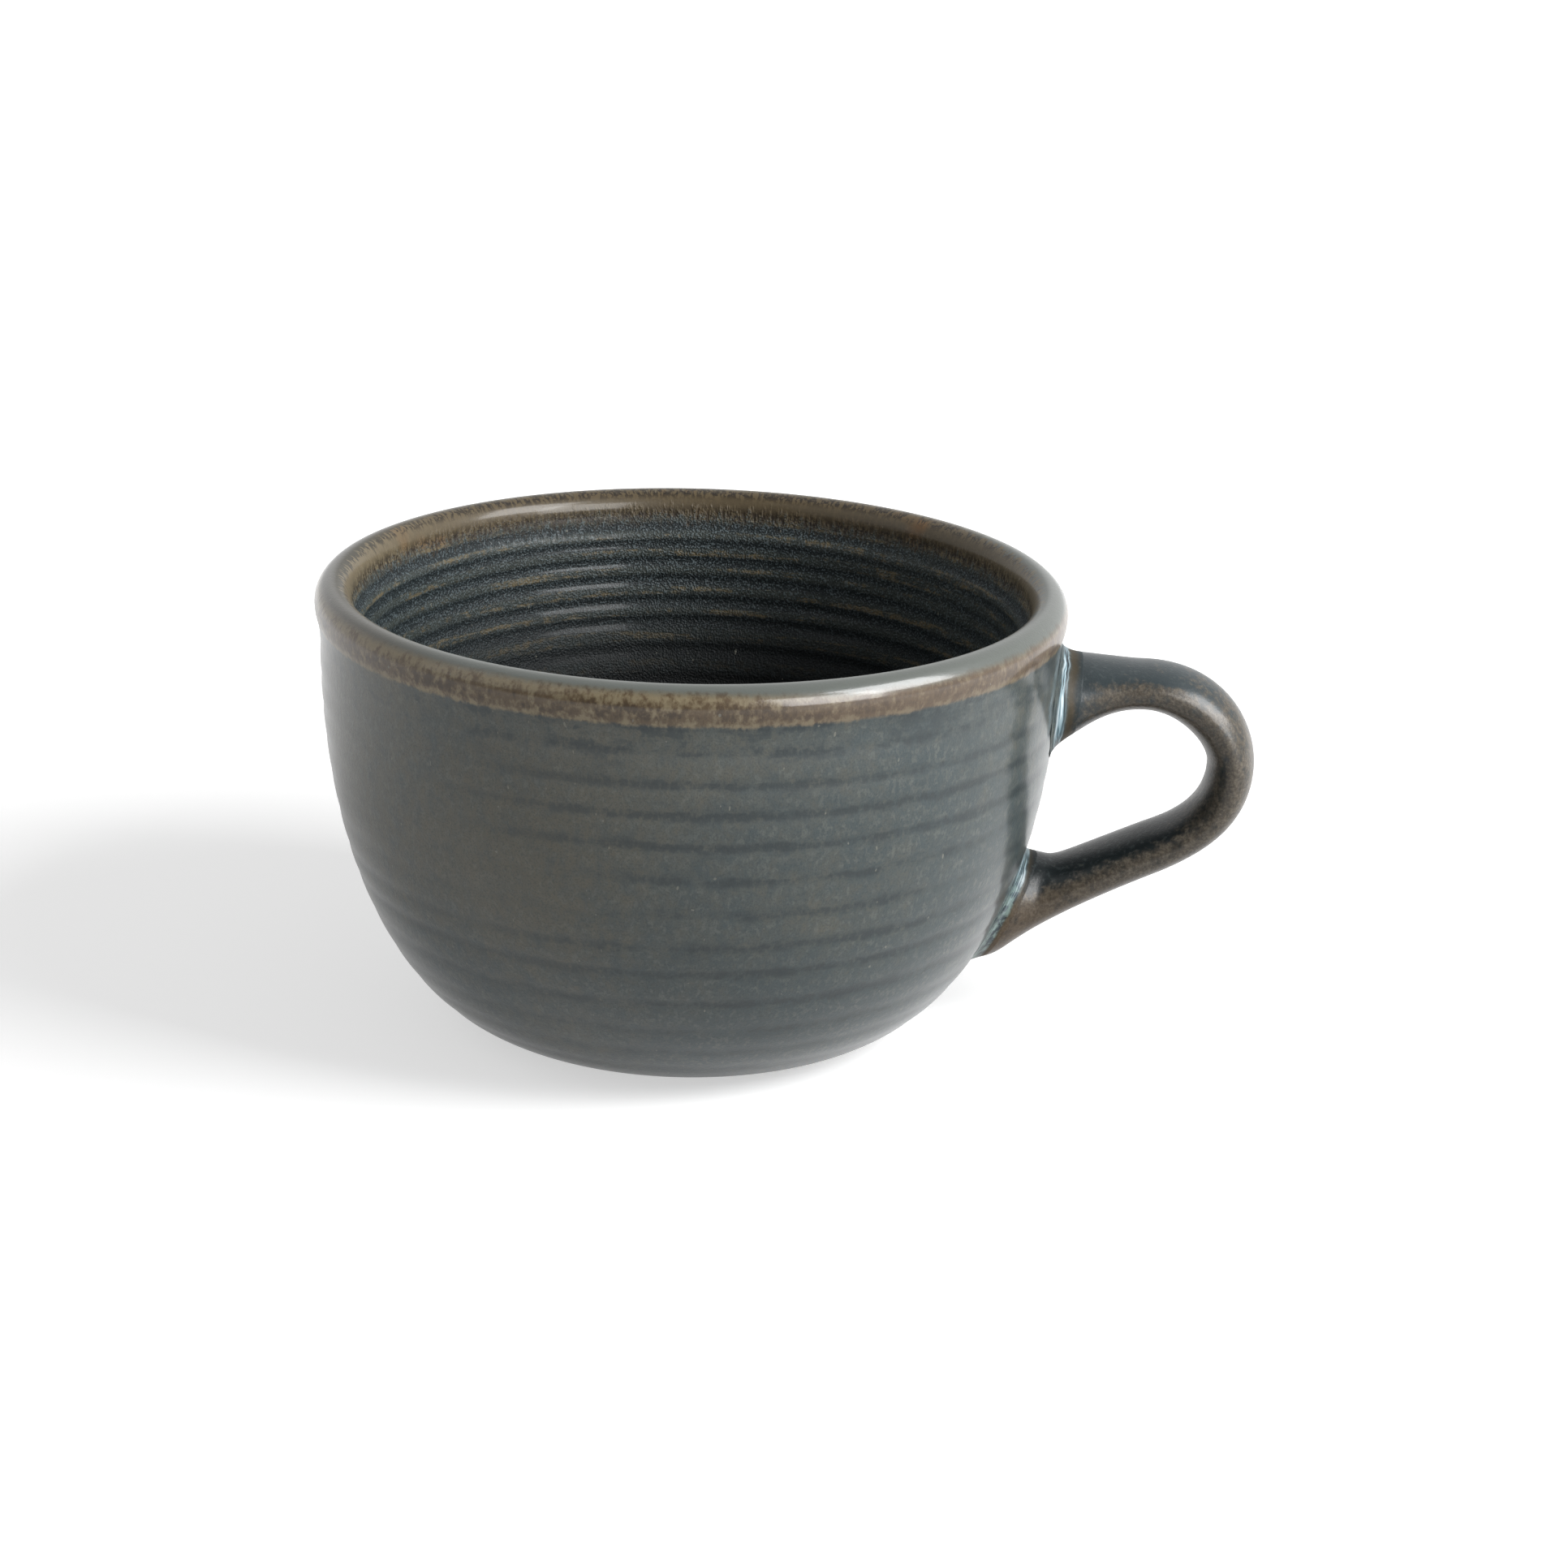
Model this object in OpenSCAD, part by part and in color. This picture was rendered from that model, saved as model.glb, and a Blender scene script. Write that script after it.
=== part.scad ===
// Wide, round coffee cup in thrown stoneware, with a rolled rim and one pulled side handle.
// It is made of the pieces that a potter joins: the thrown bowl, the pulled handle, and the
// slip that bonds each end of the handle to the wall, wiped to a small fillet all round.
// Origin: centre of the foot, on the table. +Z is up and the handle points along +X.
// All lengths are in millimetres.

/* [Bowl] */
// Outside diameter over the rolled rim
rim_d = 105; // [90:0.5:125]
// Height from the table to the top of the rim
cup_h = 64; // [58:0.5:80]
// How far the rolled rim stands proud of the wall
rim_roll = 0.7; // [0.3:0.1:1.5]
// Height of the rolled band, from the neck up to the rim's widest line
roll_h = 4.5; // [3.5:0.5:7]
// Thickness of the lip
lip_t = 5; // [3.5:0.1:6.5]
// Height of the lip's crown above the rim's widest line
lip_rise = 3; // [2:0.1:4]
// Thickness of the wall below the lip
wall_t = 5.6; // [4.5:0.1:7]
// Thickness of the floor above the recess in the foot
floor_t = 5; // [4:0.1:8]
// Diameter of the flat floor inside
floor_d = 40; // [28:1:50]

/* [Foot] */
// Outside diameter of the turned foot
foot_d = 52; // [44:1:60]
// Height of the foot's outer edge
foot_h = 0.6; // [0.5:0.1:2]
// Width of the flat ring that stands on the table
foot_ring_w = 4; // [3:0.5:8]
// Depth of the recess inside the foot ring
foot_recess = 1.8; // [0.8:0.1:3]
// Bevel on the foot's edges
foot_bevel = 0.3; // [0.1:0.05:0.45]

/* [Throwing rings] */
// Depth of the finger grooves outside
outer_ring_depth = 0.1; // [0.05:0.05:0.4]
// Depth of the finger grooves inside
inner_ring_depth = 0.3; // [0.1:0.05:0.8]

/* [Handle] */
// Distance from the wall to the far side of the bend
handle_reach = 28.1; // [24:0.1:36]
// Thickness of the handle, seen from the side
handle_t = 6.7; // [5.5:0.1:8]
// Width of the handle, seen from the end
handle_w = 13; // [10:0.5:17]
// Width of the handle where it meets the wall
joint_w = 17; // [14:0.5:20]
// How far the upper arm's top edge lies below the rim
handle_top_drop = 9.8; // [8:0.1:12]
// Length of the upper arm, from the wall to where the bend starts
upper_arm = 11.8; // [10:0.1:14]
// How far the handle's farthest point lies below the rim
bend_drop = 24.5; // [23:0.5:27]
// Distance from the wall to where the bend runs out into the lower arm
heel_out = 15.6; // [14:0.1:18]
// Height of the lower arm's outer edge at that point
heel_z = 23.6; // [22:0.1:26]
// Slope of the lower arm, in degrees below level
arm_slope = 24.7; // [18:0.1:28]

/* [Joints] */
// How far the top of the upper joint lies below the rim
upper_joint_drop = 9.1; // [8:0.1:11]
// Height of the upper joint, along the wall
upper_joint_h = 12.8; // [11:0.1:14]
// Height of the bottom of the lower joint
lower_joint_z = 9.2; // [8:0.1:12]
// Height of the lower joint, along the wall
lower_joint_h = 15.8; // [14:0.1:17]
// How far the wiped fillet spreads over the wall
slip_leg = 1.8; // [1:0.1:2.5]
// How far the wiped fillet runs up the handle
slip_run = 3; // [2:0.1:4]

/* [Hidden] */

glaze_colour = "#4d5558";
slip_colour = "#9db0b8";

// How fast the belly rounds into the wall and into the foot, as powers of a superellipse
belly_power = 2.2;
base_power = 1.95;

// Heights of the outside grooves, as shares of the cup's height, from the foot up
outer_groove_shares = [0.086, 0.147, 0.208, 0.286, 0.367, 0.43, 0.509, 0.589, 0.663, 0.731, 0.794, 0.861,
    0.914];
// Depths of the inside grooves, as shares of the depth inside, from the rim down
inner_groove_shares = [0.096, 0.14, 0.189, 0.238, 0.297, 0.348, 0.425, 0.505, 0.58, 0.655, 0.735, 0.81,
    0.875];
groove_steps = 6;
groove_sharpness = 2;
end_steps = 8;
lip_step = 15;
round_fn = 144;

// Where each rail's curve pulls, as shares of the lengths between its corner points
lead_share = 0.3;
inner_lead_share = 0.32;
inner_rise_share = 0.1;
inner_settle_share = 0.58;
outer_bend_shares = [0.64, 0.48, 0.56, 0.44];
inner_bend_shares = [0.54, 0.39, 0.69, 0.41];
outer_arm_shares = [0.9, 0.23];
inner_arm_shares = [0.97, 0.36];
arm_steps = 10;
bend_steps = 14;
section_sides = 32;
slip_steps = 5;
embed_share = 0.5;

rim_r = rim_d / 2;
belly_r = rim_r - rim_roll;
lip_r = lip_t / 2;
lip_z = cup_h - lip_rise;
neck_z = lip_z - roll_h;
foot_r = foot_d / 2;
foot_inner_r = foot_r - foot_ring_w;
floor_r = floor_d / 2;
floor_z = foot_recess + floor_t;
mouth_r = belly_r - wall_t;
inside_h = cup_h - floor_z;
embed = wall_t * embed_share;

// Smooth step from 0 to 1
function ease(t) = let (u = min(max(t, 0), 1)) u * u * (3 - 2 * u);

// Superellipse radius between a base radius and a top radius, at depth share t below the top
function belly(base, top, t) = let (u = min(max(t, 0), 1))
    base + (top - base) * pow(1 - pow(u, belly_power), 1 / base_power);

// Radius of the wall outside and inside at height z, without the finger grooves
function outer_r(z) = belly(foot_r, belly_r, (neck_z - z) / (neck_z - foot_h))
    + rim_roll * ease((z - neck_z) / roll_h);
function inner_r(z) = belly(floor_r, mouth_r, (neck_z - z) / (neck_z - floor_z))
    + (rim_r - lip_t - mouth_r) * ease((z - neck_z) / roll_h);

// Depth of a finger groove at a share of the way from one groove to the next
function groove(share) = pow((1 + cos(360 * share)) / 2, groove_sharpness);

// [height, groove depth] down or up a wall: a ridge at the start, every groove, a ridge at the end.
// The steps crowd towards an end where the wall turns quickly into a floor or a foot.
function crowded(from, to, base_end) = [for (j = [0 : end_steps - 1])
    let (s = j / end_steps, p = base_end ? s * s : s) [from + (to - from) * p, groove((1 + p) / 2)]];
function ring_walk(zs) = [for (k = [0 : len(zs) - 2]) for (j = [0 : groove_steps - 1])
    [zs[k] + (zs[k + 1] - zs[k]) * j / groove_steps, groove(j / groove_steps)]];
function runout(from, to, base_end) = [for (j = [0 : end_steps])
    let (s = j / end_steps, p = base_end ? 1 - (1 - s) * (1 - s) : s)
    [from + (to - from) * p, groove(p / 2)]];

outer_zs = [for (s = outer_groove_shares) s * cup_h];
inner_zs = [for (s = inner_groove_shares) cup_h - s * inside_h];
outer_walk = concat(crowded(foot_h, outer_zs[0], true), ring_walk(outer_zs),
    runout(outer_zs[len(outer_zs) - 1], lip_z, false));
inner_walk = concat(crowded(lip_z, inner_zs[0], false), ring_walk(inner_zs),
    runout(inner_zs[len(inner_zs) - 1], floor_z, true));

outer_wall = [for (w = outer_walk) [outer_r(w[0]) - outer_ring_depth * w[1], w[0]]];
inner_wall = [for (w = inner_walk) [inner_r(w[0]) + inner_ring_depth * w[1], w[0]]];
lip_arc = [for (a = [lip_step : lip_step : 180 - lip_step])
    [rim_r - lip_r + lip_r * cos(a), lip_z + lip_rise * sin(a)]];
foot_outline = [[0, foot_recess], [foot_inner_r - foot_recess, foot_recess], [foot_inner_r, foot_bevel],
    [foot_inner_r + foot_bevel, 0], [foot_r - foot_bevel, 0], [foot_r, foot_bevel]];

// The thrown bowl: foot, wall with its finger grooves, rolled lip, and the hollow
module bowl() {
    color(glaze_colour) rotate_extrude($fn = round_fn)
        polygon(concat(foot_outline, outer_wall, lip_arc, inner_wall, [[0, floor_z]]));
}

// The bowl's outside shape as one block, to cut what is joined to the wall
module wall_block() {
    rotate_extrude($fn = round_fn) polygon(concat([[0, foot_h]], outer_wall, [[0, lip_z]]));
}

// Point on a cubic curve with corner points c
function curve(c, t) = pow(1 - t, 3) * c[0] + 3 * pow(1 - t, 2) * t * c[1] + 3 * (1 - t) * t * t * c[2]
    + t * t * t * c[3];
function wall_point(z) = [outer_r(z), z];

// Corner points shared by the two rails, as [distance from the axis, height]
handle_top_z = cup_h - handle_top_drop;
bend_z = cup_h - bend_drop;
upper_joint_top = cup_h - upper_joint_drop;
upper_joint_foot = upper_joint_top - upper_joint_h;
lower_joint_top = lower_joint_z + lower_joint_h;
arm_dir = [-cos(arm_slope), -sin(arm_slope)];
arm_normal = [-sin(arm_slope), cos(arm_slope)];
outer_stops = [wall_point(upper_joint_top), [belly_r + upper_arm, handle_top_z],
    [belly_r + handle_reach, bend_z], [belly_r + heel_out, heel_z], wall_point(lower_joint_z)];
inner_stops = [wall_point(upper_joint_foot), outer_stops[1] - [0, handle_t], outer_stops[2] - [handle_t, 0],
    outer_stops[3] + handle_t * arm_normal, wall_point(lower_joint_top)];

// The bend and the lower arm of a rail, from its stops and its pull shares
function bend_out(s, k) = [s[1], s[1] + [k[0] * (s[2][0] - s[1][0]), 0],
    s[2] + [0, k[1] * (s[1][1] - s[2][1])], s[2]];
function bend_back(s, k) = [s[2], s[2] - [0, k[2] * (s[2][1] - s[3][1])],
    s[3] - k[3] * (s[2][0] - s[3][0]) * arm_dir, s[3]];
function lower_arm(s, k) = let (run = norm(s[4] - s[3])) [s[3], s[3] + k[0] * run * arm_dir,
    s[4] + [k[1] * run, 0], s[4]];

outer_rail = [
    [outer_stops[0], outer_stops[0] + [lead_share * upper_arm, 0],
        outer_stops[1] - [lead_share * upper_arm, 0], outer_stops[1]],
    bend_out(outer_stops, outer_bend_shares),
    bend_back(outer_stops, outer_bend_shares),
    lower_arm(outer_stops, outer_arm_shares)];
inner_rail = [
    [inner_stops[0], inner_stops[0] + [inner_lead_share * upper_arm, inner_rise_share * upper_joint_h],
        inner_stops[1] - [inner_settle_share * upper_arm, 0], inner_stops[1]],
    bend_out(inner_stops, inner_bend_shares),
    bend_back(inner_stops, inner_bend_shares),
    lower_arm(inner_stops, inner_arm_shares)];

// Half the handle's width on arm or bend number leg: it flares towards both joints
function half_width(leg, t) = handle_w / 2
    + (joint_w - handle_w) / 2 * (leg == 0 ? pow(1 - t, 2) : leg == 3 ? pow(t, 3) : 0);

// Oval section between two rail points, let out all round by grow
function oval(o, i, half_w, grow) =
    let (mid = (o + i) / 2, half = (o - i) / 2, reach = half * (1 + grow / norm(half)))
    [for (n = [0 : section_sides - 1]) let (a = 360 * n / section_sides)
        [mid[0] + reach[0] * cos(a), (half_w + grow) * sin(a), mid[1] + reach[1] * cos(a)]];
function section(leg, t, grow) =
    oval(curve(outer_rail[leg], t), curve(inner_rail[leg], t), half_width(leg, t), grow);
function sunk(points) = [for (p = points) p - [embed, 0, 0]];

// How much of each arm's curve the slip covers: a curve leaves its end at three times the
// distance to its next corner point
upper_run = slip_run / (3 * norm(outer_rail[0][1] - outer_rail[0][0]));
lower_run = slip_run / (3 * norm(outer_rail[3][3] - outer_rail[3][2]));

// Places along the two arms, from the wall outwards: fine steps under the slip, then wider ones
function arm_places(run) = concat([for (j = [0 : slip_steps - 1]) run * j / slip_steps],
    [for (j = [0 : arm_steps - 1]) run + (1 - run) * j / arm_steps]);
upper_places = arm_places(upper_run);
lower_places = [for (t = arm_places(lower_run)) 1 - t];

// Triangles of a band between section r and section next, each of n points in a closed loop,
// wound so that they face outwards
function band(r, next, n) = [for (k = [0 : n - 1]) let (m = (k + 1) % n) each
    [[r * n + k, next * n + m, next * n + k], [r * n + k, r * n + m, next * n + m]]];

// The pulled handle before its ends are cut to the wall
module handle_form() {
    sections = concat(
        [sunk(section(0, 0, 0))],
        [for (t = upper_places) section(0, t, 0)],
        [for (leg = [1, 2]) for (j = [0 : bend_steps - 1]) section(leg, j / bend_steps, 0)],
        [section(3, 0, 0)],
        [for (j = [len(lower_places) - 1 : -1 : 0]) section(3, lower_places[j], 0)],
        [sunk(section(3, 1, 0))]);
    n = section_sides;
    last = len(sections) - 1;
    polyhedron(
        points = [for (s = sections) each s],
        faces = concat([[for (k = [n - 1 : -1 : 0]) k]], [for (r = [0 : last - 1]) each band(r, r + 1, n)],
            [[for (k = [0 : n - 1]) last * n + k]]),
        convexity = 4);
}

module handle() {
    color(glaze_colour) difference() {
        handle_form();
        wall_block();
    }
}

// How far the slip is let out from the handle, from the wall (x = 0) to its feathered edge (x = 1)
function slip_spread(x) = slip_leg * pow(1 - x, 2);

// Slip round one end of the handle: its inner skin is the handle's own, its outer skin is the
// wiped fillet, and they meet in a feathered edge. Each loop of points runs up the handle's skin
// from inside the wall, and back down the fillet.
module slip_ring(leg, places) {
    inner = [for (t = places) section(leg, t, 0)];
    outer = [for (j = [0 : len(places) - 1])
        section(leg, places[j], slip_spread(j / (len(places) - 1)))];
    rows = concat([sunk(inner[0])], inner, [for (j = [len(places) - 2 : -1 : 0]) outer[j]],
        [sunk(outer[0])]);
    last = len(rows) - 1;
    difference() {
        polyhedron(
            points = [for (r = rows) each r],
            faces = [for (r = [0 : last]) each
                [for (f = band(r, (r + 1) % len(rows), section_sides)) leg == 0 ? [f[0], f[2], f[1]] : f]],
            convexity = 4);
        wall_block();
    }
}

module upper_slip_joint() {
    color(slip_colour) slip_ring(0, [for (j = [0 : slip_steps]) upper_places[j]]);
}

module lower_slip_joint() {
    color(slip_colour) slip_ring(3, [for (j = [0 : slip_steps]) lower_places[j]]);
}

bowl();
handle();
upper_slip_joint();
lower_slip_joint();
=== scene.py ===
# %% [markdown]
# # A thrown stoneware coffee cup
# The cup is one thrown bowl, one pulled handle and the slip that bonds them, under a satin
# slate glaze that breaks brown where it runs thin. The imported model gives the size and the
# place of each piece. Here each piece gets a finer skin and its glaze.

# %% Load the frame
import math

import bpy
import numpy as np
from mathutils import Matrix


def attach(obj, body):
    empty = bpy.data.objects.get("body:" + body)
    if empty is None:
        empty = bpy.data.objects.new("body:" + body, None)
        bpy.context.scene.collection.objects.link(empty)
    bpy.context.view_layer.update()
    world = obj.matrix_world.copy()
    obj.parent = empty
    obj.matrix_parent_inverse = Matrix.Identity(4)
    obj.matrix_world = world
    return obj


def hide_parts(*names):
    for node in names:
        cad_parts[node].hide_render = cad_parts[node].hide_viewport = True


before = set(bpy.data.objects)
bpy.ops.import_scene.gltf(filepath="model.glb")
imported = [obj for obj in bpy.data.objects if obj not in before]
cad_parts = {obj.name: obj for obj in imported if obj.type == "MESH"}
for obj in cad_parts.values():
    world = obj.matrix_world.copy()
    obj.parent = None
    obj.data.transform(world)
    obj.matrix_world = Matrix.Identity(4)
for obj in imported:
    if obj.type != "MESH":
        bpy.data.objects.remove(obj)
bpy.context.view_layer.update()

# %% [markdown]
# ## The camera
# The view is fixed first, so that every later choice is judged in it. It could be set by eye,
# but the rings on the cup are true circles, and circles seen at a slant give the distance, the
# height and the lens. These values come from such a fit.

# %% Camera
mm = 0.001
camera_out, camera_up = 458.85 * mm, 192.91 * mm
camera_round = math.radians(3)
camera_pitch, camera_yaw, camera_roll = 0.333854, 0.029527, 0.030003
camera_lens, sensor_w = 78.26, 36


def in_scene(name, data):
    """An object with the given data, put in the scene."""
    made = bpy.data.objects.new(name, data)
    bpy.context.scene.collection.objects.link(made)
    return made


def camera_axes(pitch, yaw, roll):
    """Right, up and back: level axes turned by the yaw, tipped down by the pitch, then rolled."""
    level = np.array([math.sin(yaw), math.cos(yaw), 0])
    ahead = level * math.cos(pitch) - np.array([0, 0, math.sin(pitch)])
    right = np.array([math.cos(yaw), -math.sin(yaw), 0])
    up = np.cross(right, ahead)
    rolled_right = math.cos(roll) * right + math.sin(roll) * up
    rolled_up = math.cos(roll) * up - math.sin(roll) * right
    return rolled_right, rolled_up, -ahead


camera_data = bpy.data.cameras.new("camera")
camera_data.lens = camera_lens
camera_data.sensor_width = sensor_w
camera = in_scene("camera", camera_data)
turned = Matrix(np.stack(camera_axes(camera_pitch, camera_yaw, camera_roll), 1).tolist()).to_4x4()
stand = Matrix.Translation((0, -camera_out, camera_up))
camera.matrix_world = Matrix.Rotation(camera_round, 4, "Z") @ stand @ turned
bpy.context.scene.camera = camera
print("camera stands", round(camera.matrix_world.translation.length, 3), "m from the foot")

# %% [markdown]
# ## From a grid of points to a mesh
# Every piece is a surface of two parameters: one runs round, the other along. It could be
# modelled by hand, but then no size could be changed later. So numpy works out the whole grid at
# once, and one helper turns it into a mesh. The helper also measures the volume inside, which
# comes out negative when the faces point inwards.

# %% Mesh helper
def enclosed_volume(points, quads):
    """Sum over both triangles of each quad of a . (b x c) / 6."""
    a, b, c, d = (points[quads[:, k]] for k in range(4))
    return float((a * np.cross(b, c)).sum() + (a * np.cross(c, d)).sum()) / 6


def skin(name, grid, looped, facts):
    """A mesh over grid[along, round]. It closes round, and along too where looped is true.
    Otherwise its first and last rows are poles: all their points coincide and become one."""
    rows, columns = grid.shape[:2]
    number = np.arange(rows * columns).reshape(rows, columns)
    if not looped:
        number[0] = number[0, 0]
        number[-1] = number[-1, 0]
    ahead = np.roll(number, -1, 0) if looped else number[1:]
    here = number if looped else number[:-1]
    quads = np.stack([here, np.roll(here, -1, 1), np.roll(ahead, -1, 1), ahead], -1).reshape(-1, 4)
    points = grid.reshape(-1, 3)
    volume = enclosed_volume(points, quads)
    if volume < 0:
        raise ValueError(name + " is inside out")
    used, quads = np.unique(quads, return_inverse=True)
    quads = quads.reshape(-1, 4)
    faces = [list(dict.fromkeys(q)) for q in quads.tolist()]
    mesh = bpy.data.meshes.new(name)
    mesh.from_pydata(points[used].tolist(), [], faces)
    for fact, values in facts.items():
        spread = np.broadcast_to(values, (rows, columns)).reshape(-1)[used]
        kept = mesh.attributes.new(fact, "FLOAT", "POINT")
        kept.data.foreach_set("value", spread.astype(np.float32))
    mesh.polygons.foreach_set("use_smooth", np.ones(len(faces), bool))
    piece = in_scene(name, mesh)
    triangles = sum(len(face) - 2 for face in faces)
    print(name, triangles, "triangles,", round(volume / mm**3), "cubic mm")
    return piece


# %% [markdown]
# ## The bowl's outline
# A bowl grows from a foot into a round belly and a nearly upright wall, and ends in a rolled
# lip. The outline could be drawn point by point, but a superellipse bends that way with two
# powers alone. The sizes repeat the model's own.

# %% Bowl sizes
rim_r, cup_h = 52.5 * mm, 64 * mm
rim_roll, roll_h = 0.7 * mm, 4.5 * mm
lip_r, lip_rise = 2.5 * mm, 3 * mm
wall_t, floor_z, floor_r = 5.6 * mm, 6.8 * mm, 20 * mm
foot_r, foot_h, foot_ring_w = 26 * mm, 0.6 * mm, 4 * mm
foot_recess, foot_bevel = 1.8 * mm, 0.3 * mm
belly_power, base_power = 2.2, 1.95
belly_r = rim_r - rim_roll
mouth_r = belly_r - wall_t
lip_z = cup_h - lip_rise
neck_z = lip_z - roll_h
print("bowl", round(2 * rim_r / mm), "mm over the rim and", round(cup_h / mm), "mm high")


# %% Bowl curves
def ease(t):
    """0 below 0, 1 above 1, and 3t^2 - 2t^3 between."""
    u = np.clip(t, 0, 1)
    return u * u * (3 - 2 * u)


def belly(base, top, t):
    """base + (top - base) (1 - t^belly_power)^(1 / base_power), t being the depth as a share."""
    return base + (top - base) * (1 - np.clip(t, 0, 1) ** belly_power) ** (1 / base_power)


def outer_r(z):
    """The wall's outside: belly curve from the foot to the neck, then eased out by rim_roll."""
    below = belly(foot_r, belly_r, (neck_z - z) / (neck_z - foot_h))
    return below + rim_roll * ease((z - neck_z) / roll_h)


def inner_r(z):
    """The wall's inside: belly curve from the floor to the neck, then eased out to the lip."""
    below = belly(floor_r, mouth_r, (neck_z - z) / (neck_z - floor_z))
    return below + (rim_r - 2 * lip_r - mouth_r) * ease((z - neck_z) / roll_h)


def even_rows(path, count):
    """count points evenly spaced by length along a dense path of [radius, height] points."""
    length = np.concatenate([[0], np.cumsum(np.hypot(*np.diff(path, axis=0).T))])
    at = np.linspace(0, length[-1], count)
    return np.stack([np.interp(at, length, path[:, k]) for k in (0, 1)], 1)


print("belly", round(float(outer_r(cup_h / 2)) / mm, 1), "mm in radius at half height")

# %% Bowl outline
dense = 2000
under_rows, outer_rows, lip_rows, inner_rows = 22, 146, 24, 136
crowd = 1 - np.cos(np.linspace(0, math.pi / 2, dense))
outer_heights = foot_h + (lip_z - foot_h) * crowd
inner_heights = (floor_z + (lip_z - floor_z) * crowd)[::-1]
lip_turn = np.linspace(0, math.pi, lip_rows + 2)[1:-1]
ring_in = foot_r - foot_ring_w
under = np.array([[0, foot_recess], [ring_in * 0.5, foot_recess],
                  [ring_in - foot_recess, foot_recess], [ring_in, foot_bevel],
                  [ring_in + foot_bevel, 0], [foot_r - foot_bevel, 0], [foot_r, foot_bevel]])
outer_path = even_rows(np.stack([outer_r(outer_heights), outer_heights], 1), outer_rows)
lip_path = np.stack([rim_r - lip_r + lip_r * np.cos(lip_turn),
                     lip_z + lip_rise * np.sin(lip_turn)], 1)
inner_path = even_rows(np.stack([inner_r(inner_heights), inner_heights], 1), inner_rows)
floor_path = np.array([[floor_r * 0.6, floor_z], [floor_r * 0.2, floor_z], [0, floor_z]])
under_path = np.concatenate([under[:1], even_rows(under[1:], under_rows)])
outline = np.concatenate([under_path, outer_path, lip_path, inner_path, floor_path])
is_outer = np.zeros(len(outline))
is_outer[len(under_path):len(under_path) + len(outer_path)] = 1
is_inner = np.zeros(len(outline))
is_inner[-len(inner_path) - len(floor_path):-len(floor_path)] = 1
print("outline of", len(outline), "points")

# %% [markdown]
# ## Throwing rings
# Fingers leave rings that are never quite even: each one drifts up and down, deepens and fades
# as the wheel turns. A texture could fake them, but then the rim of light on each ridge would
# be missing, so they are cut into the grid. How deep each point lies in a ring is kept with
# the mesh, because the glaze runs dark there.

# %% Rings
outer_ring_depth, inner_ring_depth = 0.1 * mm, 0.3 * mm
outer_groove_shares = np.array([0.086, 0.147, 0.208, 0.286, 0.367, 0.43, 0.509, 0.589, 0.663, 0.731,
                                0.794, 0.861, 0.914])
inner_groove_shares = np.array([0.096, 0.14, 0.189, 0.238, 0.297, 0.348, 0.425, 0.505, 0.58, 0.655,
                                0.735, 0.81, 0.875])
outer_grooves = outer_groove_shares * cup_h
inner_grooves = (cup_h - inner_groove_shares * (cup_h - floor_z))[::-1]
groove_drift = 0.35 * mm
ring_strength, ring_sway, ring_least = 0.72, 0.4, 0.15
wander_waves, wander_slope, wander_most = (1, 2, 3, 5), 150, 1.7
outer_seed, inner_seed = 3, 11
bowl_columns = 288


def wander(height, turn, seed):
    """Between about -1 and 1: four waves round the cup whose phases slide with the height."""
    chance = np.random.default_rng(seed)
    swing = 0
    for waves in wander_waves:
        slope, phase = chance.uniform(-wander_slope, wander_slope), chance.uniform(0, 2 * math.pi)
        swing = swing + np.sin(waves * turn + slope * height + phase) / waves
    return swing / wander_most


def rings(height, turn, grooves, seed):
    """(1 + cos 2 pi k)^2 / 4, where k counts grooves at the drifted height, fading by wander."""
    drifted = height + groove_drift * wander(height, turn, seed)
    first, last = (grooves[1] - grooves[0]) / 2, (grooves[-1] - grooves[-2]) / 2
    stops = np.concatenate([[grooves[0] - first], grooves, [grooves[-1] + last]])
    counts = np.concatenate([[-0.5], np.arange(len(grooves)), [len(grooves) - 0.5]])
    count = np.interp(drifted, stops, counts)
    strength = ring_strength + ring_sway * wander(height * 2, turn, seed + 1)
    return ((1 + np.cos(2 * math.pi * count)) / 2) ** 2 * np.clip(strength, ring_least, 1)


turns = np.linspace(0, 2 * math.pi, bowl_columns, endpoint=False)[None, :]
radius, height = outline[:, 0][:, None], outline[:, 1][:, None]
outside = rings(height, turns, outer_grooves, outer_seed) * is_outer[:, None]
inside = rings(height, turns, inner_grooves, inner_seed) * is_inner[:, None]
along = np.gradient(outline, axis=0)
facing = np.stack([along[:, 1], -along[:, 0]], 1) / (np.hypot(*along.T)[:, None] + 1e-12)
cut = outer_ring_depth * outside + inner_ring_depth * inside
print("deepest ring", round(float(cut.max() / mm), 2), "mm")

# %% Bowl mesh
out_of_round, widest_turn = 0.12 * mm, 0.6
rim_walk = np.concatenate([[0], np.cumsum(np.hypot(*np.diff(outline, axis=0).T))])
lip_top = int(np.argmax(outline[:, 1]))
rim_walk = (rim_walk[lip_top] - rim_walk)[:, None] / mm
squeeze = out_of_round * (1 + np.cos(2 * turns + widest_turn)) / 2 * (height / cup_h) ** 2
bowl_r = radius - facing[:, :1] * cut - squeeze * (radius > 0)
bowl_z = height - facing[:, 1:] * cut
bowl_grid = np.stack([bowl_r * np.cos(turns), bowl_r * np.sin(turns), bowl_z + 0 * turns], -1)
is_bare = ((height < foot_bevel * 1.5) & (radius > ring_in - foot_bevel)).astype(float)
bowl = skin("bowl_skin", bowl_grid, False, {
    "groove": outside + inside, "rim_walk": rim_walk, "bare": is_bare})

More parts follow.
